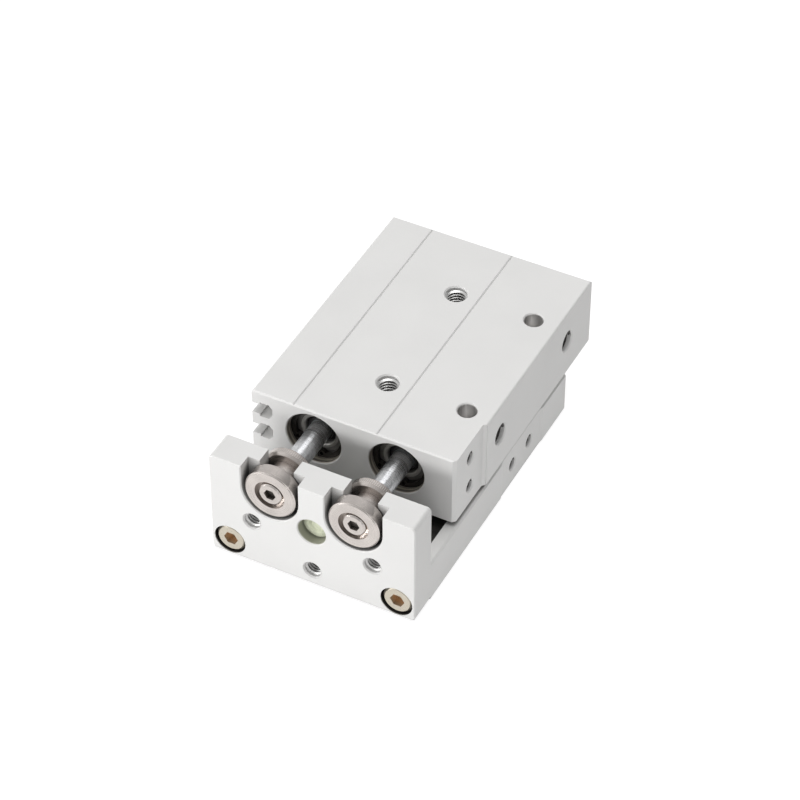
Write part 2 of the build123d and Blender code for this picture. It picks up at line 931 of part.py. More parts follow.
def ring_in_groove(x, start, width, depth, outer):
    inner = bore_radius - depth + press_clearance
    y0 = piston_front + start + press_clearance
    y1 = piston_front + start + width - press_clearance
    return turned([(inner, y0), (outer, y0), (outer, y1), (inner, y1)], x, bore_axis)


def piston_wear_ring(x):
    outer = bore_radius - running_clearance
    return ring_in_groove(x, wear_ring_start, wear_ring_width, wear_ring_depth, outer)


def piston_magnet(x):
    outer = bore_radius - magnet_recess
    return ring_in_groove(x, magnet_start, magnet_width, magnet_depth, outer)


def piston_seal(x):
    # A double seal that presses on the bore along both edges and is waisted between them.
    inner = bore_radius - piston_seal_depth + press_clearance
    outer = bore_radius - running_clearance
    y0 = piston_front + piston_seal_start + press_clearance
    y1 = piston_front + piston_seal_start + piston_seal_width - press_clearance
    c = piston_seal_bevel
    points = [
        (inner, y0), (outer - c, y0), (outer, y0 + c), (outer - piston_seal_waist, (y0 + y1) / 2),
        (outer, y1 - c), (outer - c, y1), (inner, y1),
    ]
    return turned(points, x, bore_axis)


def piston_bumper(x):
    # The rubber ring that meets the rod cover at the outward stop.
    inner = rod_radius + press_clearance
    outer = piston_bumper_radius
    front = piston_front - piston_bumper_length
    c = piston_bevel
    points = [
        (inner, front), (outer - c, front), (outer, front + c), (outer, piston_front),
        (inner, piston_front),
    ]
    return turned(points, x, bore_axis)


def piston_nut(x):
    rear = piston_rear + nut_thickness
    thread = rod_stub_diameter / 2 + press_clearance
    nut = hexagon_y(nut_across_flats, piston_rear, rear, x, bore_axis)
    return nut - rod_y(thread, piston_rear - 1, rear + 1, x, bore_axis)


# Writing the pieces

def paired_pieces():
    makers = {
        "rod_cover": rod_cover,
        "cover_o_ring": cover_o_ring,
        "seal_retainer": seal_retainer,
        "rod_seal": rod_seal,
        "rod_bush": rod_bush,
        "cover_ring": cover_ring,
        "head_cap": head_cap,
        "head_o_ring": head_o_ring,
        "head_ring": head_ring,
        "rod_flange": rod_flange,
        "rod_bolt": rod_bolt,
        "floating_bushing": floating_bushing,
        "piston_rod": piston_rod,
        "piston": piston,
        "piston_wear_ring": piston_wear_ring,
        "piston_seal": piston_seal,
        "piston_magnet": piston_magnet,
        "piston_bumper": piston_bumper,
        "piston_nut": piston_nut,
    }
    pieces = {}
    for name, maker in makers.items():
        for side_name, side in sides.items():
            pieces[name + "_" + side_name] = maker(side * bore_spacing / 2)
    return pieces


def all_pieces():
    pieces = {
        "body_housing": body_housing(),
        "guide_block": guide_block(),
        "guide_block_screws": carriage_screws(),
        "guide_cap_front": guide_end_cap(steel_front - cap_thickness, steel_front),
        "guide_cap_rear": guide_end_cap(steel_rear, steel_rear),
        "guide_wiper_front": guide_wiper(carriage_front),
        "guide_wiper_rear": guide_wiper(carriage_rear - wiper_thickness),
        "guide_balls": guide_balls(),
        "table": table(),
        "end_plate": end_plate(),
        "end_plate_screws": end_plate_screws(),
        "centre_bumper": centre_bumper(),
        "guide_rail": guide_rail(),
        "guide_rail_screws": rail_screws(),
    }
    pieces.update(paired_pieces())
    return pieces


os.makedirs("parts", exist_ok=True)
for node, piece in all_pieces().items():
    export_step(piece, "parts/" + node + ".step")
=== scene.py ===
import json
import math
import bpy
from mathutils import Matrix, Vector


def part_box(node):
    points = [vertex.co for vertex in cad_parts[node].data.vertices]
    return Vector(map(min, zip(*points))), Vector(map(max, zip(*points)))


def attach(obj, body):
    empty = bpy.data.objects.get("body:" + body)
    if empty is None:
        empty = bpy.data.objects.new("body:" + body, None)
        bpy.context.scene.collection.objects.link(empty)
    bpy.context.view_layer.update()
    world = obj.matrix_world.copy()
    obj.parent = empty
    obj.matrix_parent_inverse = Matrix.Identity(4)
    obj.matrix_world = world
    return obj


bl_info = {
    "name": "Slide table cylinder",
    "version": (1, 0, 0),
    "blender": (4, 5, 0),
    "location": "View3D > Sidebar > Slide table",
    "description": "Surfaces, screw threads, stage and camera of a pneumatic slide table",
    "category": "Object",
}

from collections import namedtuple

import bpy
from bpy.props import FloatProperty, FloatVectorProperty, IntProperty, PointerProperty
from mathutils import Matrix, Vector

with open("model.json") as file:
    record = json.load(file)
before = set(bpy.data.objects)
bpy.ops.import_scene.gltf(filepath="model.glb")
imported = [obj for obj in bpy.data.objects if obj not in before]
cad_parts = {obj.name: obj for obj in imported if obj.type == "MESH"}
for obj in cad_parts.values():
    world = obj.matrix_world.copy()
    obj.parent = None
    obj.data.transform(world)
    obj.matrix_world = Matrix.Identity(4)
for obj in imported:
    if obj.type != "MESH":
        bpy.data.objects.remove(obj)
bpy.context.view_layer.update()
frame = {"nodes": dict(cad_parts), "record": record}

MM = 0.001
SIDES = ("left", "right")

# What the materials share. Lengths are in metres, scales in repeats per metre, details in octaves of noise, and
# tones are shares of a colour.
MASK_EDGE = 0.00008
CHANNEL_MARGIN = 0.0001
CLOUD_SCALE = 70
CLOUD_TONES = (0.975, 1.01)
STAIN_SCALE = 260
STAIN_TONES = (0.88, 1.04)
SKIN_DEPTH = 0.00002
GLOSS_CHANGE = 0.06
FINE_DETAIL = 3.0
COARSE_DETAIL = 2.0
BORING_PITCH = 0.0009
LATHE = {"pitch": 0.00012, "cut": 0.000006}
COUPLING_LATHE = {"pitch": 0.00014, "cut": 0.000008}

# How deep below the face a thread starts, which leaves the bevel at its mouth free.
MOUTH_BEVEL = 0.3 * MM

# A wall inside a block: its mask's maker, its colour, how far tool rings change that colour, and its surface.
Wall = namedtuple("Wall", "mask colour change metallic roughness")

# A socket in a turned piece: its radius, its mouth's place along Y, the depths its painted shade lies between, and
# the colour of that shade.
Socket = namedtuple("Socket", "radius front depths colour")


# Sizes and colours that a user may change

def colour_property(name, default, description):
    return FloatVectorProperty(name=name, description=description, default=default, min=0, max=1,
                               size=3, subtype="COLOR")


def length_property(name, default, description):
    return FloatProperty(name=name, description=description, default=default, min=0,
                         subtype="DISTANCE", unit="LENGTH")


def share_property(name, default, description):
    return FloatProperty(name=name, description=description, default=default, min=0, max=1, subtype="FACTOR")


def power_property(name, default, description):
    return FloatProperty(name=name, description=description, default=default, min=0, subtype="POWER", unit="POWER")


class AluminiumSettings(bpy.types.PropertyGroup):
    colour: colour_property("Anodised colour", (0.70, 0.696, 0.687), "Bead-blasted, clear anodised blocks")
    dark_colour: colour_property("Cover colour", (0.22, 0.21, 0.2), "Grey anodised rod covers and head caps")
    roughness: share_property("Roughness", 0.6, "Roughness of the blasted surface")
    metallic: share_property("Metallic", 0.28, "How much the blasted surface shines like bare metal")
    # Painted shade: how far and how deeply gaps and pockets are darkened by how closed in they are.
    crevice_shade_reach: length_property("Crevice reach", 0.0025, "How far from a facing wall a gap is darkened")
    crevice_shade_tone: share_property("Crevice tone", 0.06, "Share of the colour left in the deepest gaps")
    bore: colour_property("Bore colour", (0.34, 0.31, 0.265), "Oiled, machined walls of the two bores")
    reamed: colour_property("Locating hole colour", (0.62, 0.61, 0.60), "Smooth bare walls of the two locating holes")
    # Painted shade on the walls of the pockets round the plate's screw heads.
    pocket_shade: colour_property("Screw pocket colour", (0.012, 0.011, 0.010), "Oily walls round the plate's screw heads")
    pocket_gap: length_property("Screw pocket gap", 0.0004, "Width of the dark ring round a screw head")
    tapped: colour_property("Tapped hole colour", (0.6, 0.595, 0.585), "Bevel and wall of the plate's tapped holes")
    tapped_hole: length_property("Tapped hole", 0.00232, "Radius of the plate's tapped holes at the mouth")
    # Painted shade and a painted green reflection of the bumper on the wall of the hole in front of it.
    bumper_hole_shade: colour_property("Bumper hole colour", (0.34, 0.345, 0.28), "Wall of the hole in front of the bumper")
    bumper_hole: length_property("Bumper hole", 0.00335, "Radius of the hole in front of the bumper")
    # Painted shade on the floor and walls of the table's channel.
    channel_shade: colour_property("Channel colour", (0.03, 0.028, 0.026), "Greased floor of the table's channel")
    # Painted shade in the threads of the holes in the side faces.
    hole_shade: colour_property("Oily thread colour", (0.03, 0.028, 0.026), "Threads in the side faces, dark with oil")
    channel: length_property("Channel", 0.02172, "Half of the width of the table's channel")
    grain: length_property("Grain size", 0.00022, "Size of one pit of the bead blasting")


class SteelSettings(bpy.types.PropertyGroup):
    nickel: colour_property("Nickel colour", (0.60, 0.555, 0.525), "Warm nickel plate of the coupling discs")
    chrome: colour_property("Rod colour", (0.75, 0.76, 0.78), "Hard chrome of the piston rods")
    guide: colour_property("Guide colour", (0.5, 0.5, 0.5), "Ground steel of the rail and the guide block")
    ball: colour_property("Ball colour", (0.7, 0.7, 0.7), "Polished steel of the guide's balls")
    guide_screw: colour_property("Guide screw colour", (0.05, 0.05, 0.05), "Black oxide of the guide's screws")
    zinc: colour_property("Screw colour", (0.56, 0.515, 0.43), "Pale yellow zinc of the screws")
    socket: colour_property("Socket colour", (0.65, 0.49, 0.34), "Brown inside the screws' sockets")
    # Painted shade inside the rod screws' sockets.
    socket_shade_colour: colour_property("Dark socket colour", (0.14, 0.13, 0.12), "Oily inside of the rod screws' sockets")
    washer: colour_property("Washer colour", (0.42, 0.41, 0.39), "Grey metal of the washers that hold the rod seals")
    ring: colour_property("Ring colour", (0.05, 0.047, 0.043), "Black phosphate of the retaining rings")
    magnet: colour_property("Magnet colour", (0.04, 0.04, 0.045), "Black of the pistons' magnets")
    bronze: colour_property("Bronze colour", (0.45, 0.32, 0.19), "Sintered bronze of the rod bushes")


class SoftSettings(bpy.types.PropertyGroup):
    bumper: colour_property("Bumper colour", (0.66, 0.69, 0.53), "Pale green of the centre bumper")
    rubber: colour_property("Rubber colour", (0.02, 0.02, 0.02), "Black of the seals and wipers")
    wear: colour_property("Wear ring colour", (0.2, 0.13, 0.08), "Brown resin of the pistons' wear rings")
    cap: colour_property("Guide cap colour", (0.03, 0.03, 0.032), "Black resin of the guide block's end caps")


class ThreadSettings(bpy.types.PropertyGroup):
    pitch_m3: length_property("M3 pitch", 0.0005, "Pitch of the M3 threads")
    pitch_m4: length_property("M4 pitch", 0.0007, "Pitch of the M4 threads")
    pitch_m5: length_property("M5 pitch", 0.0008, "Pitch of the M5 threads")
    steps: IntProperty(name="Steps", description="Flat steps in one turn of a thread", default=36, min=12, max=96)


class StageSettings(bpy.types.PropertyGroup):
    front_power: power_property("Front light", 8.7, "Power of the wide low lamp in front")
    edge_power: power_property("Edge light", 1.5, "Power of the small lamp that lights the right-hand edges")
    top_power: power_property("Top light", 7.3, "Power of the lamp overhead")
    bounce: FloatProperty(name="Floor light", description="Light that the white floor sends up, most of it in front",
                          default=0.42, min=0)
    sky: FloatProperty(name="Sky", description="Strength of the light from all round", default=0.5, min=0)
    lens: FloatProperty(name="Lens", description="Focal length of the camera", default=139.48, min=1,
                        subtype="DISTANCE_CAMERA")


class SlideTableSettings(bpy.types.PropertyGroup):
    aluminium: PointerProperty(type=AluminiumSettings)
    steel: PointerProperty(type=SteelSettings)
    soft: PointerProperty(type=SoftSettings)
    thread: PointerProperty(type=ThreadSettings)
    stage: PointerProperty(type=StageSettings)


# Node helpers

def add_node(tree, kind, **settings):
    node = tree.nodes.new(kind)
    for key, value in settings.items():
        setattr(node, key, value)
    return node


def feed(tree, value, socket):
    # Links another node's output to the socket, or sets a plain number.
    if isinstance(value, bpy.types.NodeSocket):
        tree.links.new(value, socket)
    else:
        socket.default_value = value


def combine(tree, kind, first, second, **settings):
    # A node that joins its first two inputs, such as a sum or a product.
    node = add_node(tree, kind, **settings)
    feed(tree, first, node.inputs[0])
    feed(tree, second, node.inputs[1])
    return node


def math_node(tree, operation, first, second, **settings):
    return combine(tree, "ShaderNodeMath", first, second, operation=operation, **settings).outputs["Value"]


def add_shaders(tree, first, second):
    return combine(tree, "ShaderNodeAddShader", first, second).outputs["Shader"]


def mix_shaders(tree, share, first, second):
    mix = add_node(tree, "ShaderNodeMixShader")
    tree.links.new(share, mix.inputs["Fac"])
    tree.links.new(first, mix.inputs[1])
    tree.links.new(second, mix.inputs[2])
    return mix.outputs["Shader"]


def object_coordinates(tree, centre=(0, 0, 0), scale=(1, 1, 1)):
    # Object coordinates with the pattern centred at a point and stretched along the axes.
    coordinates = add_node(tree, "ShaderNodeTexCoord")
    mapping = add_node(tree, "ShaderNodeMapping")
    mapping.inputs["Location"].default_value = [-c * s for c, s in zip(centre, scale)]
    mapping.inputs["Scale"].default_value = scale
    tree.links.new(coordinates.outputs["Object"], mapping.inputs["Vector"])
    return mapping.outputs["Vector"]


def place_from(tree, origin=(0, 0, 0)):
    # The outputs X, Y and Z of the object coordinates, measured from a point.
    place = add_node(tree, "ShaderNodeSeparateXYZ")
    tree.links.new(object_coordinates(tree, origin), place.inputs["Vector"])
    return place.outputs


def noise(tree, vector, scale, detail=COARSE_DETAIL):
    texture = add_node(tree, "ShaderNodeTexNoise")
    texture.inputs["Scale"].default_value = scale
    texture.inputs["Detail"].default_value = detail
    tree.links.new(vector, texture.inputs["Vector"])
    return texture.outputs["Fac"]


def tool_lines(tree, value, pitch):
    # Noise along one value, as the lines that a turning or boring tool leaves.
    lines = add_node(tree, "ShaderNodeTexNoise", noise_dimensions="1D")
    lines.inputs["Scale"].default_value = 1 / pitch
    lines.inputs["Detail"].default_value = COARSE_DETAIL
    tree.links.new(value, lines.inputs["W"])
    return lines.outputs["Fac"]


def spread_value(tree, value, low, high, start=0.3, end=0.7):
    # Maps what lies between start and end, by default the middle of a noise, onto the range from low to high.
    mapped = add_node(tree, "ShaderNodeMapRange")
    mapped.inputs["From Min"].default_value = start
    mapped.inputs["From Max"].default_value = end
    mapped.inputs["To Min"].default_value = low
    mapped.inputs["To Max"].default_value = high
    tree.links.new(value, mapped.inputs["Value"])
    return mapped.outputs["Result"]


def two_colours(tree, value, first, second, start=0.3, end=0.7):
    ramp = add_node(tree, "ShaderNodeValToRGB")
    ramp.color_ramp.elements[0].position = start
    ramp.color_ramp.elements[0].color = (*first, 1)
    ramp.color_ramp.elements[1].position = end
    ramp.color_ramp.elements[1].color = (*second, 1)
    tree.links.new(value, ramp.inputs["Fac"])
    return ramp.outputs["Color"]


def shaded(colour, share):
    return tuple(min(1.0, c * share) for c in colour)


def multiply_colour(tree, colour, share):
    mix = add_node(tree, "ShaderNodeMix", data_type="RGBA", blend_type="MULTIPLY")
    mix.inputs["Factor"].default_value = 1.0
    tree.links.new(colour, mix.inputs["A"])
    tree.links.new(share, mix.inputs["B"])
    return mix.outputs["Result"]


def blend(tree, share, first, second, kind="FLOAT"):
    # The kind is FLOAT for values and RGBA for colours.
    mix = add_node(tree, "ShaderNodeMix", data_type=kind)
    tree.links.new(share, mix.inputs["Factor"])
    feed(tree, first, mix.inputs["A"])
    feed(tree, second, mix.inputs["B"])
    return mix.outputs["Result"]


def paint_crevice_shade(tree, colour, reach, darkest):
    # Painted shade: gaps, pockets and slots are darkened by how closely other faces close them in.
    openness = add_node(tree, "ShaderNodeAmbientOcclusion", samples=12)
    openness.inputs["Distance"].default_value = reach
    share = spread_value(tree, openness.outputs["AO"], darkest, 1.0, start=0.15, end=0.62)
    return multiply_colour(tree, colour, share)


def raise_surface(tree, shader, height, depth, strength=1.0):
    bump = add_node(tree, "ShaderNodeBump")
    bump.inputs["Strength"].default_value = strength
    bump.inputs["Distance"].default_value = depth
    tree.links.new(height, bump.inputs["Height"])
    tree.links.new(bump.outputs["Normal"], shader.inputs["Normal"])


# Masks, which are one inside a region and nothing outside it

def distance_from_axis(tree, x, z, upright=False):
    # The axis runs along Y through (x, z), or upright through (x, y) when that is asked.
    centre, flatten = ((x, z, 0), (1, 1, 0)) if upright else ((x, 0, z), (1, 0, 1))
    distance = add_node(tree, "ShaderNodeVectorMath", operation="LENGTH")
    tree.links.new(object_coordinates(tree, centre, flatten), distance.inputs[0])
    return distance.outputs["Value"]


def within_holes(tree, axes, radius, start=None, upright=False):
    # Inside any hole of this radius along Y, or upright, and behind the start where one is given.
    nearest = None
    for x, z in axes:
        distance = distance_from_axis(tree, x, z, upright)
        nearest = distance if nearest is None else math_node(tree, "MINIMUM", nearest, distance)
    inside = spread_value(tree, nearest, 1, 0, radius, radius + MASK_EDGE)
    if start is None:
        return inside
    behind = spread_value(tree, place_from(tree, (0, start, 0))["Y"], 0, 1, 0, MASK_EDGE)
    return math_node(tree, "MULTIPLY", inside, behind)


def within_channel(tree, half_width, floor, rear):
    # Between two walls along Y, above the floor and before the rear face. The margin takes in the floor itself and
    # leaves out the rear face.
    place = place_from(tree)
    distance = math_node(tree, "ABSOLUTE", place["X"], 0.0)
    between = spread_value(tree, distance, 1, 0, half_width, half_width + MASK_EDGE)
    floor -= CHANNEL_MARGIN
    rear -= CHANNEL_MARGIN
    above = spread_value(tree, place["Z"], 0, 1, floor, floor + MASK_EDGE)
    before = spread_value(tree, place["Y"], 1, 0, rear, rear + MASK_EDGE)
    return math_node(tree, "MULTIPLY", math_node(tree, "MULTIPLY", between, above), before)


# Materials

def new_material(name, colour, metallic, roughness):
    material = bpy.data.materials.new(name)
    material.use_nodes = True
    shader = material.node_tree.nodes["Principled BSDF"]
    shader.inputs["Base Color"].default_value = (*colour, 1)
    shader.inputs["Metallic"].default_value = metallic
    shader.inputs["Roughness"].default_value = roughness
    return material, shader


def blasted_metal(name, colour, metallic, roughness, grain):
    # Fine random pits, faint cloudiness of the surface and a little change of gloss.
    material, shader = new_material(name, colour, metallic, roughness)
    tree = material.node_tree
    place = object_coordinates(tree)
    pits = noise(tree, place, 1 / grain, FINE_DETAIL)
    clouds = noise(tree, place, CLOUD_SCALE, FINE_DETAIL)
    dim, bright = (shaded(colour, share) for share in CLOUD_TONES)
    tree.links.new(two_colours(tree, clouds, dim, bright), shader.inputs["Base Color"])
    gloss = spread_value(tree, pits, roughness - GLOSS_CHANGE, roughness + GLOSS_CHANGE)
    tree.links.new(gloss, shader.inputs["Roughness"])
    raise_surface(tree, shader, pits, grain * 0.2, strength=0.5)
    return material


def block_metal(name, look, walls):
    # A blasted and anodised outside with painted shade in its crevices, and each wall's own tone and surface within
    # its mask. Some walls' tones are painted shade too.
    material = blasted_metal(name, look.colour, look.metallic, look.roughness, look.grain)
    tree = material.node_tree
    shader = tree.nodes["Principled BSDF"]
    outside = shader.inputs["Base Color"].links[0].from_socket
    gloss = shader.inputs["Roughness"].links[0].from_socket
    tone = paint_crevice_shade(tree, outside, look.crevice_shade_reach, look.crevice_shade_tone)
    metallic = look.metallic
    rings = tool_lines(tree, place_from(tree)["Y"], BORING_PITCH)
    for wall in walls:
        inside = wall.mask(tree)
        dim, bright = shaded(wall.colour, 1 - wall.change), shaded(wall.colour, 1 + wall.change)
        tone = blend(tree, inside, tone, two_colours(tree, rings, dim, bright, start=0.38, end=0.6), kind="RGBA")
        gloss = blend(tree, inside, gloss, wall.roughness)
        metallic = blend(tree, inside, metallic, wall.metallic)
    for value, key in ((tone, "Base Color"), (gloss, "Roughness"), (metallic, "Metallic")):
        feed(tree, value, shader.inputs[key])
    return material


def turned_metal(name, colour, metallic, roughness, axis, pitch, cut, socket=None):
    # Fine rings left by the lathe about an axis along Y, with painted shade in narrow grooves. A socket's painted
    # shade takes over between two depths.
    material, shader = new_material(name, colour, metallic, roughness)
    tree = material.node_tree
    distance = distance_from_axis(tree, axis.x, axis.z)
    rings = tool_lines(tree, distance, pitch)
    stains = noise(tree, object_coordinates(tree), STAIN_SCALE, FINE_DETAIL)
    dim, bright = (shaded(colour, share) for share in STAIN_TONES)
    tone = two_colours(tree, stains, dim, bright)
    if socket:
        inside = spread_value(tree, distance, 1, 0, socket.radius, socket.radius + 0.0002)
        depth = place_from(tree, (0, socket.front, 0))["Y"]
        below = spread_value(tree, depth, 0, 1, *socket.depths)
        painted_socket_shade = two_colours(tree, stains, socket.colour, shaded(socket.colour, 1.3))
        tone = blend(tree, math_node(tree, "MULTIPLY", inside, below), tone, painted_socket_shade, kind="RGBA")
    tree.links.new(paint_crevice_shade(tree, tone, reach=0.0008, darkest=0.35), shader.inputs["Base Color"])
    tree.links.new(spread_value(tree, rings, roughness - 0.05, roughness + 0.08), shader.inputs["Roughness"])
    raise_surface(tree, shader, rings, cut, strength=0.6)
    return material


def cut_metal(name, colour, metallic, roughness):
    # Metal left by a tap, with painted shade at the roots.
    material, shader = new_material(name, colour, metallic, roughness)
    tree = material.node_tree
    streaks = noise(tree, object_coordinates(tree), 1800)
    tone = two_colours(tree, streaks, shaded(colour, 0.8), colour)
    tree.links.new(paint_crevice_shade(tree, tone, reach=0.0012, darkest=0.22), shader.inputs["Base Color"])
    gloss = spread_value(tree, streaks, roughness - GLOSS_CHANGE, roughness + GLOSS_CHANGE)
    tree.links.new(gloss, shader.inputs["Roughness"])
    return material


def ground_metal(name, colour, metallic, roughness, stretch, cut):
    # Fine grinding lines, which lie across the axis with the largest stretch.
    material, shader = new_material(name, colour, metallic, roughness)
    tree = material.node_tree
    lines = noise(tree, object_coordinates(tree, scale=stretch), 1.0)
    tree.links.new(spread_value(tree, lines, roughness - 0.04, roughness + 0.06), shader.inputs["Roughness"])
    tree.links.new(two_colours(tree, lines, shaded(colour, 0.93), shaded(colour, 1.03)), shader.inputs["Base Color"])
    raise_surface(tree, shader, lines, cut, strength=0.4)
    return material


def stretch_reflections(material, amount):
    # Grinding round a rod spreads its reflections along the Y axis.
    tree = material.node_tree
    shader = tree.nodes["Principled BSDF"]
    shader.inputs["Anisotropic"].default_value = amount
    shader.inputs["Anisotropic Rotation"].default_value = 0.25
    around = add_node(tree, "ShaderNodeTangent", direction_type="RADIAL", axis="Y")
    tree.links.new(around.outputs["Tangent"], shader.inputs["Tangent"])


def moulded(name, colour, roughness, grain_scale):
    # Rubber or resin with a fine moulded skin.
    material, shader = new_material(name, colour, 0.0, roughness)
    tree = material.node_tree
    skin = noise(tree, object_coordinates(tree), grain_scale, FINE_DETAIL)
    tree.links.new(two_colours(tree, skin, shaded(colour, 0.85), shaded(colour, 1.1)), shader.inputs["Base Color"])
    tree.links.new(spread_value(tree, skin, roughness - 0.08, roughness + 0.08), shader.inputs["Roughness"])
    raise_surface(tree, shader, skin, SKIN_DEPTH, strength=0.4)
    return material


def dress(material, *nodes):
    for node in nodes:
        piece = frame["nodes"][node]
        if not piece.material_slots:
            piece.data.materials.append(material)
        for slot in piece.material_slots:
            slot.material = material


# Places and sizes taken from the frame

def both(name):
    return [name + "_" + side for side in SIDES]


def centre_of(node):
    low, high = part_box(node)
    return (low + high) / 2


def radius_of(node):
    low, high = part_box(node)
    return (high.x - low.x) / 2


def hole_axes(*nodes):
    return [(centre_of(node).x, centre_of(node).z) for node in nodes]


def mount_named(name):
    for mount in frame["record"]["mounts"]:
        if mount["name"] == name:
            return mount
    raise ValueError("the record has no mount named " + name)


def hole_mouths(mount, depth=0):
    # A point on each hole's axis at this depth below the face, worked out from the mount's own sizes. A single
    # threaded hole is placed by its middle and gives the start of its wall instead.
    axis = Vector(mount["axis"])
    centre = Vector(mount["pos_m"])
    if mount["kind"] == "threaded_hole":
        return [centre + axis * mount["dims"]["length_mm"] * MM / 2]
    across = [Vector((1, 0, 0)), Vector((0, 1, 0)), Vector((0, 0, 1))]
    across = [v for v in across if abs(v.dot(axis)) < 0.5]
    spacing = [mount["dims"].get(key, 0) * MM / 2 for key in ("spacing_x_mm", "spacing_y_mm")]
    first = (-1, 1) if spacing[0] else (0,)
    second = (-1, 1) if spacing[1] else (0,)
    return [centre - axis * depth + across[0] * spacing[0] * i + across[1] * spacing[1] * j
            for i in first for j in second]


# Modelling helpers

def deselect_all():
    if bpy.context.object and bpy.context.object.mode != "OBJECT":
        bpy.ops.object.mode_set(mode="OBJECT")
    bpy.ops.object.select_all(action="DESELECT")


def choose(piece):
    deselect_all()
    piece.select_set(True)
    bpy.context.view_layer.objects.active = piece


# Operators

class OBJECT_OT_slide_table_blocks(bpy.types.Operator):
    """Blasted and anodised finish of the body, the table and the end plate"""
    bl_idname = "object.slide_table_blocks"
    bl_label = "Body, table and end plate"

    # How far a mask reaches past its hole's wall, and how far behind the plate's face the pockets' mask begins.
    bore_margin = 0.00012
    reamed_margin = 0.00004
    pocket_margin = 0.00016

    def body(self, look):
        bores = hole_axes(*both("rod_cover"))
        bore_radius = radius_of("rod_cover_left") + self.bore_margin
        mount = mount_named("locating_holes")
        reamed = [(place.x, place.y) for place in hole_mouths(mount)]
        reamed_radius = mount["dims"]["hole_r_mm"] * MM + self.reamed_margin
        return block_metal("body_anodised", look, [
            Wall(lambda tree: within_holes(tree, bores, bore_radius),
                 look.bore, change=0.45, metallic=0.4, roughness=0.35),
            Wall(lambda tree: within_holes(tree, reamed, reamed_radius, upright=True),
                 look.reamed, change=0.25, metallic=0.6, roughness=0.35),
        ])

    def plate(self, look):
        low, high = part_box("end_plate_screws")
        head = (high.z - low.z) / 2
        pockets = [(low.x + head, low.z + head), (high.x - head, low.z + head)]
        pocket_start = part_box("end_plate")[0].y + self.pocket_margin
        middle = hole_axes("centre_bumper")
        tapped = [(place.x, place.z) for name in ("plate_threads", "plate_low_thread")
                  for place in hole_mouths(mount_named(name))]
        return block_metal("plate_anodised", look, [
            # Painted shade in the pockets round the screw heads.
            Wall(lambda tree: within_holes(tree, pockets, head + look.pocket_gap, pocket_start),
                 look.pocket_shade, change=0.2, metallic=0.0, roughness=0.4),
            Wall(lambda tree: within_holes(tree, tapped, look.tapped_hole),
                 look.tapped, change=0.1, metallic=0.0, roughness=0.4),
            # Painted shade and a painted green reflection of the bumper on the hole's wall.
            Wall(lambda tree: within_holes(tree, middle, look.bumper_hole),
                 look.bumper_hole_shade, change=0.1, metallic=0.0, roughness=0.4),
        ])

    def table(self, look):
        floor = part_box("guide_rail")[0].z
        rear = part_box("table")[1].y
        return block_metal("table_anodised", look, [
            # Painted shade on the channel's floor and walls.
            Wall(lambda tree: within_channel(tree, look.channel, floor, rear),
                 look.channel_shade, change=0.2, metallic=0.2, roughness=0.4),
        ])

    def execute(self, context):
        look = context.scene.slide_table.aluminium
        dress(self.body(look), "body_housing")
        dress(self.plate(look), "end_plate")
        dress(self.table(look), "table")
        return {"FINISHED"}


class OBJECT_OT_slide_table_covers(bpy.types.Operator):
    """Turned finish of the rod covers and head caps with their rings and seals"""
    bl_idname = "object.slide_table_covers"
    bl_label = "Covers, rings and seals"

    def execute(self, context):
        look = context.scene.slide_table
        for side in SIDES:
            axis = centre_of("rod_cover_" + side)
            cover = turned_metal("cover_" + side, look.aluminium.dark_colour, metallic=0.7, roughness=0.4,
                                 axis=axis, **LATHE)
            dress(cover, "rod_cover_" + side, "head_cap_" + side, "piston_" + side)
            washer = turned_metal("retainer_" + side, look.steel.washer, metallic=0.6, roughness=0.4,
                                  axis=axis, **LATHE)
            dress(washer, "seal_retainer_" + side)
        spring = blasted_metal("phosphated_spring", look.steel.ring, metallic=0.8, roughness=0.4, grain=0.0001)
        dress(spring, *both("cover_ring"), *both("head_ring"))
        rubber = moulded("seal_rubber", look.soft.rubber, roughness=0.5, grain_scale=2500)
        dress(rubber, *both("cover_o_ring"), *both("head_o_ring"), *both("rod_seal"), *both("piston_seal"),
              *both("piston_bumper"), "guide_wiper_front", "guide_wiper_rear")
        dress(moulded("wear_resin", look.soft.wear, roughness=0.5, grain_scale=1800), *both("piston_wear_ring"))
        magnet = blasted_metal("magnet_black", look.steel.magnet, metallic=0.3, roughness=0.5, grain=0.0002)
        dress(magnet, *both("piston_magnet"))
        bronze = blasted_metal("sintered_bronze", look.steel.bronze, metallic=0.9, roughness=0.45, grain=0.00015)
        dress(bronze, *both("rod_bush"))
        return {"FINISHED"}


class OBJECT_OT_slide_table_rods(bpy.types.Operator):
    """Chromed rods and the turned, nickel-plated floating couplings"""
    bl_idname = "object.slide_table_rods"
    bl_label = "Rods and couplings"

    socket_radius = 0.0016
    socket_depths = (0.00015, 0.0006)

    def execute(self, context):
        look = context.scene.slide_table.steel
        chrome = ground_metal("hard_chrome", look.chrome, metallic=1.0, roughness=0.28,
                              stretch=(40, 9000, 40), cut=0.0000004)
        stretch_reflections(chrome, 0.85)
        dress(chrome, *both("piston_rod"))
        for side in SIDES:
            surface = {"metallic": 0.95, "roughness": 0.26, "axis": centre_of("rod_flange_" + side), **COUPLING_LATHE}
            nickel = turned_metal("nickel_" + side, look.nickel, **surface)
            dress(nickel, "rod_flange_" + side, "floating_bushing_" + side)
            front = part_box("rod_bolt_" + side)[0].y
            # Painted shade inside the rod screw's socket.
            socket = Socket(self.socket_radius, front, self.socket_depths, tuple(look.socket_shade_colour))
            dress(turned_metal("rod_bolt_nickel_" + side, look.nickel, socket=socket, **surface), "rod_bolt_" + side)
        nut = blasted_metal("plated_nut", look.zinc, metallic=0.9, roughness=0.35, grain=0.0002)
        dress(nut, *both("piston_nut"))
        return {"FINISHED"}


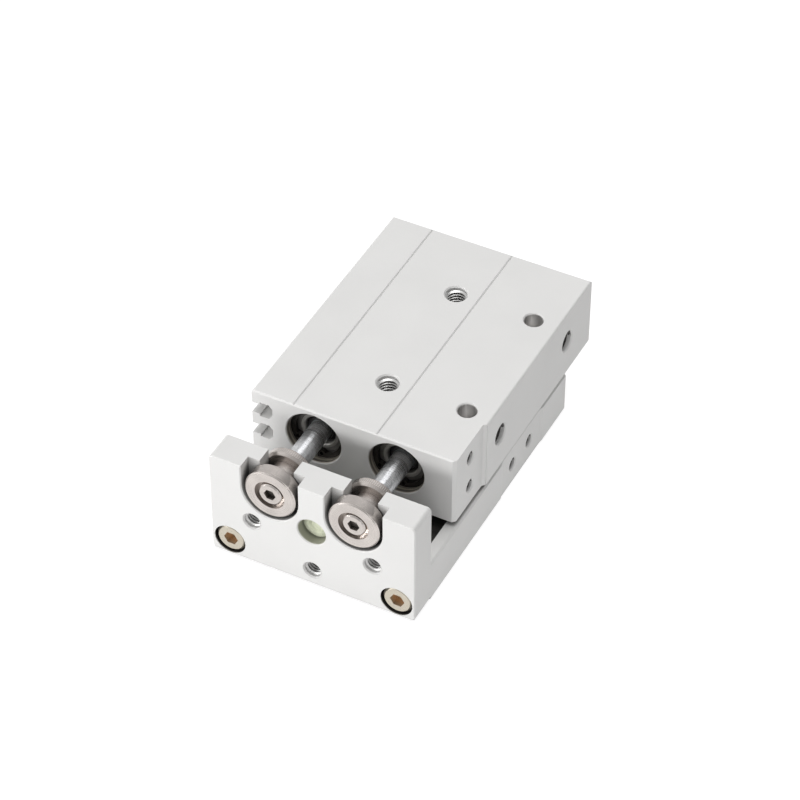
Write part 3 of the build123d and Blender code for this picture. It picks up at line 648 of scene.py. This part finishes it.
class OBJECT_OT_slide_table_guide(bpy.types.Operator):
    """Ground steel of the rail and the guide block, their balls, caps and screws"""
    bl_idname = "object.slide_table_guide"
    bl_label = "Ball guide"

    def execute(self, context):
        steel = context.scene.slide_table.steel
        soft = context.scene.slide_table.soft
        ground = ground_metal("ground_steel", steel.guide, metallic=0.95, roughness=0.3,
                              stretch=(9000, 60, 9000), cut=0.000004)
        dress(ground, "guide_rail", "guide_block")
        polished = ground_metal("ball_steel", steel.ball, metallic=1.0, roughness=0.1,
                                stretch=(800, 800, 800), cut=0.000001)
        dress(polished, "guide_balls")
        dress(moulded("cap_resin", soft.cap, roughness=0.45, grain_scale=1500), "guide_cap_front", "guide_cap_rear")
        screw = blasted_metal("guide_screw_black", steel.guide_screw, metallic=0.7, roughness=0.35, grain=0.0002)
        dress(screw, "guide_rail_screws", "guide_block_screws")
        return {"FINISHED"}


class OBJECT_OT_slide_table_screws(bpy.types.Operator):
    """Pale zinc screws of the end plate, brown inside their sockets"""
    bl_idname = "object.slide_table_screws"
    bl_label = "End plate screws"

    # How deep behind the head's face the brown begins and is full, and the blasted skin's scale, depth and gloss.
    brown_from = 0.00035
    brown_full = 0.0012
    grain_scale = 3200
    grain_depth = 0.00001
    gloss = (0.26, 0.42)

    def execute(self, context):
        look = context.scene.slide_table.steel
        material, shader = new_material("yellow_zinc", look.zinc, metallic=0.85, roughness=0.32)
        tree = material.node_tree
        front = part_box("end_plate_screws")[0].y
        depth = place_from(tree, (0, front, 0))["Y"]
        inside = spread_value(tree, depth, 0, 1, self.brown_from, self.brown_full)
        tree.links.new(two_colours(tree, inside, look.zinc, look.socket, 0.0, 1.0), shader.inputs["Base Color"])
        grain = noise(tree, object_coordinates(tree), self.grain_scale, FINE_DETAIL)
        tree.links.new(spread_value(tree, grain, *self.gloss), shader.inputs["Roughness"])
        raise_surface(tree, shader, grain, self.grain_depth, strength=0.4)
        dress(material, "end_plate_screws")
        return {"FINISHED"}


class OBJECT_OT_slide_table_bumper(bpy.types.Operator):
    """Pale green urethane of the centre bumper"""
    bl_idname = "object.slide_table_bumper"
    bl_label = "Centre bumper"

    # Painted shade: the face darkens towards the wall of its hole, from this radius to this one, down to this share
    # of its colour.
    dark_from = 0.0014
    dark_to = 0.0034
    rim_shade_tone = 0.72

    def execute(self, context):
        material = moulded("green_urethane", context.scene.slide_table.soft.bumper, roughness=0.32, grain_scale=900)
        tree = material.node_tree
        colour = tree.nodes["Principled BSDF"].inputs["Base Color"]
        skin = colour.links[0].from_socket
        middle = centre_of("centre_bumper")
        distance = distance_from_axis(tree, middle.x, middle.z)
        rim = spread_value(tree, distance, 1, self.rim_shade_tone, self.dark_from, self.dark_to)
        tree.links.new(multiply_colour(tree, skin, rim), colour)
        dress(material, "centre_bumper")
        return {"FINISHED"}


class OBJECT_OT_slide_table_threads(bpy.types.Operator):
    """Helical ridges in every tapped hole, one modelled for each pattern and copied into its holes"""
    bl_idname = "object.slide_table_threads"
    bl_label = "Threads"

    # For each pattern of holes: its body, its tone and the thread's length in millimetres.
    holes = {
        "body_mount_threads": ("body", "bright", 8.4),
        "air_port_front": ("body", "hole_shade", 3.4),
        "air_port_rear": ("body", "hole_shade", 3.4),
        "side_pad_threads": ("body", "hole_shade", 3.4),
        "plate_threads": ("table", "clean", 6.6),
        "plate_low_thread": ("table", "clean", 6.6),
        "table_side_threads": ("table", "hole_shade", 3.8),
        "table_load_threads": ("table", "clean", 4.8),
    }

    # The ridge's sizes as shares of the pitch, and how deep its foot is sunk into the wall in metres.
    reach = 0.52
    blunting = 0.25
    first_ridge = 0.6
    free_ends = 1.2
    sunk = 0.00001

    def ridge(self, radius, pitch, length, steps):
        # A triangle with a blunted tip, carried down the hole as a helix. Z = 0 is the start of the wall.
        deselect_all()
        lay_flat = Matrix.Rotation(math.pi / 2, 3, "X") @ Matrix.Rotation(math.pi / 2, 3, "Z")
        reach = pitch * self.reach
        bpy.ops.mesh.primitive_circle_add(vertices=3, radius=reach, fill_type="NGON",
                                          location=(0, 0, 0), rotation=lay_flat.to_euler())
        piece = bpy.context.object
        bpy.ops.object.transform_apply(location=True, rotation=True, scale=True)
        tip = min(piece.data.vertices, key=lambda v: v.co.x).index
        bpy.ops.object.mode_set(mode="EDIT")
        bpy.ops.mesh.select_mode(type="VERT")
        bpy.ops.mesh.select_all(action="DESELECT")
        bpy.ops.object.mode_set(mode="OBJECT")
        piece.data.vertices[tip].select = True
        bpy.ops.object.mode_set(mode="EDIT")
        bpy.ops.mesh.bevel(offset=pitch * self.blunting, segments=1, affect="VERTICES")
        bpy.ops.mesh.select_all(action="SELECT")
        bpy.ops.transform.translate(value=(radius - reach / 2 + self.sunk, 0, -pitch * self.first_ridge))
        bpy.ops.object.mode_set(mode="OBJECT")
        helix = piece.modifiers.new("helix", "SCREW")
        helix.axis = "Z"
        helix.screw_offset = -pitch
        helix.iterations = int((length - pitch * self.free_ends) / pitch)
        helix.steps = steps
        helix.render_steps = steps
        choose(piece)
        bpy.ops.object.modifier_apply(modifier="helix")
        bpy.ops.object.mode_set(mode="EDIT")
        bpy.ops.mesh.select_all(action="SELECT")
        bpy.ops.mesh.fill_holes(sides=8)
        bpy.ops.mesh.select_all(action="SELECT")
        bpy.ops.mesh.normals_make_consistent(inside=False)
        bpy.ops.object.mode_set(mode="OBJECT")
        bpy.ops.object.shade_smooth_by_angle(angle=math.radians(40))
        return piece

    def execute(self, context):
        thread = context.scene.slide_table.thread
        look = context.scene.slide_table.aluminium
        pitch_by_radius = {1.5: thread.pitch_m3, 2.0: thread.pitch_m4, 2.5: thread.pitch_m5}
        tones = {
            "bright": cut_metal("bright_thread", look.colour, metallic=0.85, roughness=0.3),
            "clean": cut_metal("cut_thread", look.colour, metallic=0.4, roughness=0.45),
            # Painted shade: the threads of the side faces' holes are coloured near black.
            "hole_shade": cut_metal("hole_shade_thread", look.hole_shade, metallic=0.4, roughness=0.45),
        }
        for name, (body, tone, length) in self.holes.items():
            mount = mount_named(name)
            radius = mount["dims"].get("r_mm", mount["dims"].get("hole_r_mm"))
            pattern = self.ridge(radius * MM, pitch_by_radius[radius], length * MM, thread.steps)
            axis = Vector(mount["axis"])
            turn = axis.to_track_quat("Z", "Y").to_matrix().to_4x4()
            for i, mouth in enumerate(hole_mouths(mount, MOUTH_BEVEL)):
                piece = bpy.data.objects.new(name + "_ridge_" + str(i + 1), pattern.data.copy())
                piece.data.transform(Matrix.Translation(mouth) @ turn)
                context.scene.collection.objects.link(piece)
                piece.data.materials.append(tones[tone])
                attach(piece, body)
            bpy.data.objects.remove(pattern)
        return {"FINISHED"}


class OBJECT_OT_slide_table_stage(bpy.types.Operator):
    """White floor, soft lamps and the camera of the photograph"""
    bl_idname = "object.slide_table_stage"
    bl_label = "Stage"

    # The floor as the camera and reflections see it, and as it lights the part.
    shown_glow = 0.88
    shown_grey = (0.22, 0.22, 0.22, 1)
    plain_grey = (0.5, 0.5, 0.5, 1)
    bright_side = (-0.6, -0.8, 0)
    bounce_reach = 0.12
    bounce_far = 0.25
    bounce_near = 1.35

    # Where the sky is brightest, and its strength on the far side and there.
    sky_bright = (-0.7, 0.05, 0.55)
    sky_far = 0.06
    sky_near = 1.64

    # The point that all lamps face, just above the floor in the middle of the part.
    lamp_aim = (0, 0, 0.01)

    # The camera's axes, and its place measured from the middle of the body's top front edge, as fitted to the
    # corners and holes in the photograph.
    camera_right = (0.88894469, 0.45801147, 0.00168248)
    camera_down = (0.31150965, -0.60190133, -0.7353071)
    camera_forward = (-0.3357664, 0.65417145, -0.67773198)
    camera_place = (0.22788441, -0.42271333, 0.45022162)

    def bounce_strength(self, tree, bounce):
        towards = add_node(tree, "ShaderNodeVectorMath", operation="DOT_PRODUCT")
        towards.inputs[1].default_value = self.bright_side
        tree.links.new(object_coordinates(tree), towards.inputs[0])
        return spread_value(tree, towards.outputs["Value"], bounce * self.bounce_far, bounce * self.bounce_near,
                            -self.bounce_reach, self.bounce_reach)

    def floor(self, bounce):
        deselect_all()
        bpy.ops.mesh.primitive_grid_add(x_subdivisions=8, y_subdivisions=8, size=6, location=(0, 0, -0.0001))
        piece = bpy.context.object
        piece.name = "floor"
        material = bpy.data.materials.new("white_floor")
        material.use_nodes = True
        tree = material.node_tree
        tree.nodes.clear()
        path = add_node(tree, "ShaderNodeLightPath").outputs
        seen = math_node(tree, "ADD", path["Is Camera Ray"], path["Is Glossy Ray"], use_clamp=True)
        seen = math_node(tree, "ADD", seen, path["Is Transmission Ray"], use_clamp=True)
        glow = add_node(tree, "ShaderNodeEmission")
        glow.inputs["Strength"].default_value = self.shown_glow
        thin = add_node(tree, "ShaderNodeBsdfDiffuse")
        thin.inputs["Color"].default_value = self.shown_grey
        plain = add_node(tree, "ShaderNodeBsdfDiffuse")
        plain.inputs["Color"].default_value = self.plain_grey
        lit = add_node(tree, "ShaderNodeEmission")
        tree.links.new(self.bounce_strength(tree, bounce), lit.inputs["Strength"])
        shown = add_shaders(tree, glow.outputs["Emission"], thin.outputs["BSDF"])
        lighting = add_shaders(tree, plain.outputs["BSDF"], lit.outputs["Emission"])
        output = add_node(tree, "ShaderNodeOutputMaterial")
        tree.links.new(mix_shaders(tree, seen, lighting, shown), output.inputs["Surface"])
        piece.data.materials.append(material)

    def sky(self, strength):
        world = bpy.data.worlds.new("studio")
        bpy.context.scene.world = world
        world.use_nodes = True
        tree = world.node_tree
        tree.nodes.clear()
        path = add_node(tree, "ShaderNodeLightPath")
        white = add_node(tree, "ShaderNodeBackground")
        white.inputs["Strength"].default_value = 1.0
        white.inputs["Color"].default_value = (1, 1, 1, 1)
        light = add_node(tree, "ShaderNodeBackground")
        light.inputs["Strength"].default_value = strength
        direction = add_node(tree, "ShaderNodeTexCoord")
        towards = add_node(tree, "ShaderNodeVectorMath", operation="DOT_PRODUCT")
        towards.inputs[1].default_value = Vector(self.sky_bright).normalized()
        tree.links.new(direction.outputs["Generated"], towards.inputs[0])
        brightness = spread_value(tree, towards.outputs["Value"], self.sky_far, self.sky_near, -1, 1)
        tree.links.new(brightness, light.inputs["Color"])
        output = add_node(tree, "ShaderNodeOutputWorld")
        shown = mix_shaders(tree, path.outputs["Is Camera Ray"], light.outputs["Background"],
                            white.outputs["Background"])
        tree.links.new(shown, output.inputs["Surface"])

    def lamp(self, name, place, width, height, power):
        light = bpy.data.lights.new(name, "AREA")
        light.shape = "RECTANGLE"
        light.size = width
        light.size_y = height
        light.energy = power
        holder = bpy.data.objects.new(name, light)
        bpy.context.scene.collection.objects.link(holder)
        holder.location = place
        holder.rotation_euler = (Vector(place) - Vector(self.lamp_aim)).to_track_quat("Z", "Y").to_euler()

    def camera(self, lens):
        data = bpy.data.cameras.new("camera")
        data.lens = lens
        data.sensor_width = 36
        data.clip_start = 0.05
        holder = bpy.data.objects.new("camera", data)
        bpy.context.scene.collection.objects.link(holder)
        axes = Matrix((Vector(self.camera_right), -Vector(self.camera_down), -Vector(self.camera_forward)))
        body_low, body_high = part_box("body_housing")
        place = Vector((0, body_low.y, body_high.z)) + Vector(self.camera_place)
        holder.matrix_world = Matrix.Translation(place) @ axes.transposed().to_4x4()
        bpy.context.scene.camera = holder

    def execute(self, context):
        look = context.scene.slide_table.stage
        self.floor(look.bounce)
        self.sky(look.sky)
        self.lamp("front", (-0.8, -1.0, 0.15), width=0.9, height=0.25, power=look.front_power)
        self.lamp("edge", (0.6, -1.1, 0.2), width=0.3, height=0.3, power=look.edge_power)
        self.lamp("top", (0.0, 0.1, 1.2), width=0.9, height=0.9, power=look.top_power)
        self.camera(look.lens)
        context.scene.view_settings.view_transform = "Standard"
        return {"FINISHED"}


class VIEW3D_PT_slide_table(bpy.types.Panel):
    bl_idname = "VIEW3D_PT_slide_table"
    bl_label = "Slide table"
    bl_space_type = "VIEW_3D"
    bl_region_type = "UI"
    bl_category = "Slide table"

    def draw(self, context):
        settings = context.scene.slide_table
        for group in (settings.aluminium, settings.steel, settings.soft, settings.thread, settings.stage):
            box = self.layout.box()
            for key in group.bl_rna.properties.keys():
                if key not in ("rna_type", "name"):
                    box.prop(group, key)
        for operator in OPERATORS:
            self.layout.operator(operator.bl_idname)


GROUPS = (AluminiumSettings, SteelSettings, SoftSettings, ThreadSettings, StageSettings, SlideTableSettings)
OPERATORS = (
    OBJECT_OT_slide_table_blocks,
    OBJECT_OT_slide_table_covers,
    OBJECT_OT_slide_table_rods,
    OBJECT_OT_slide_table_guide,
    OBJECT_OT_slide_table_screws,
    OBJECT_OT_slide_table_bumper,
    OBJECT_OT_slide_table_threads,
    OBJECT_OT_slide_table_stage,
)


def register():
    for cls in GROUPS + OPERATORS + (VIEW3D_PT_slide_table,):
        bpy.utils.register_class(cls)
    bpy.types.Scene.slide_table = PointerProperty(type=SlideTableSettings)


def unregister():
    del bpy.types.Scene.slide_table
    for cls in reversed(GROUPS + OPERATORS + (VIEW3D_PT_slide_table,)):
        bpy.utils.unregister_class(cls)


def main():
    register()
    bpy.ops.object.slide_table_blocks()
    bpy.ops.object.slide_table_covers()
    bpy.ops.object.slide_table_rods()
    bpy.ops.object.slide_table_guide()
    bpy.ops.object.slide_table_screws()
    bpy.ops.object.slide_table_bumper()
    bpy.ops.object.slide_table_threads()
    bpy.ops.object.slide_table_stage()


if __name__ == "__main__":
    main()
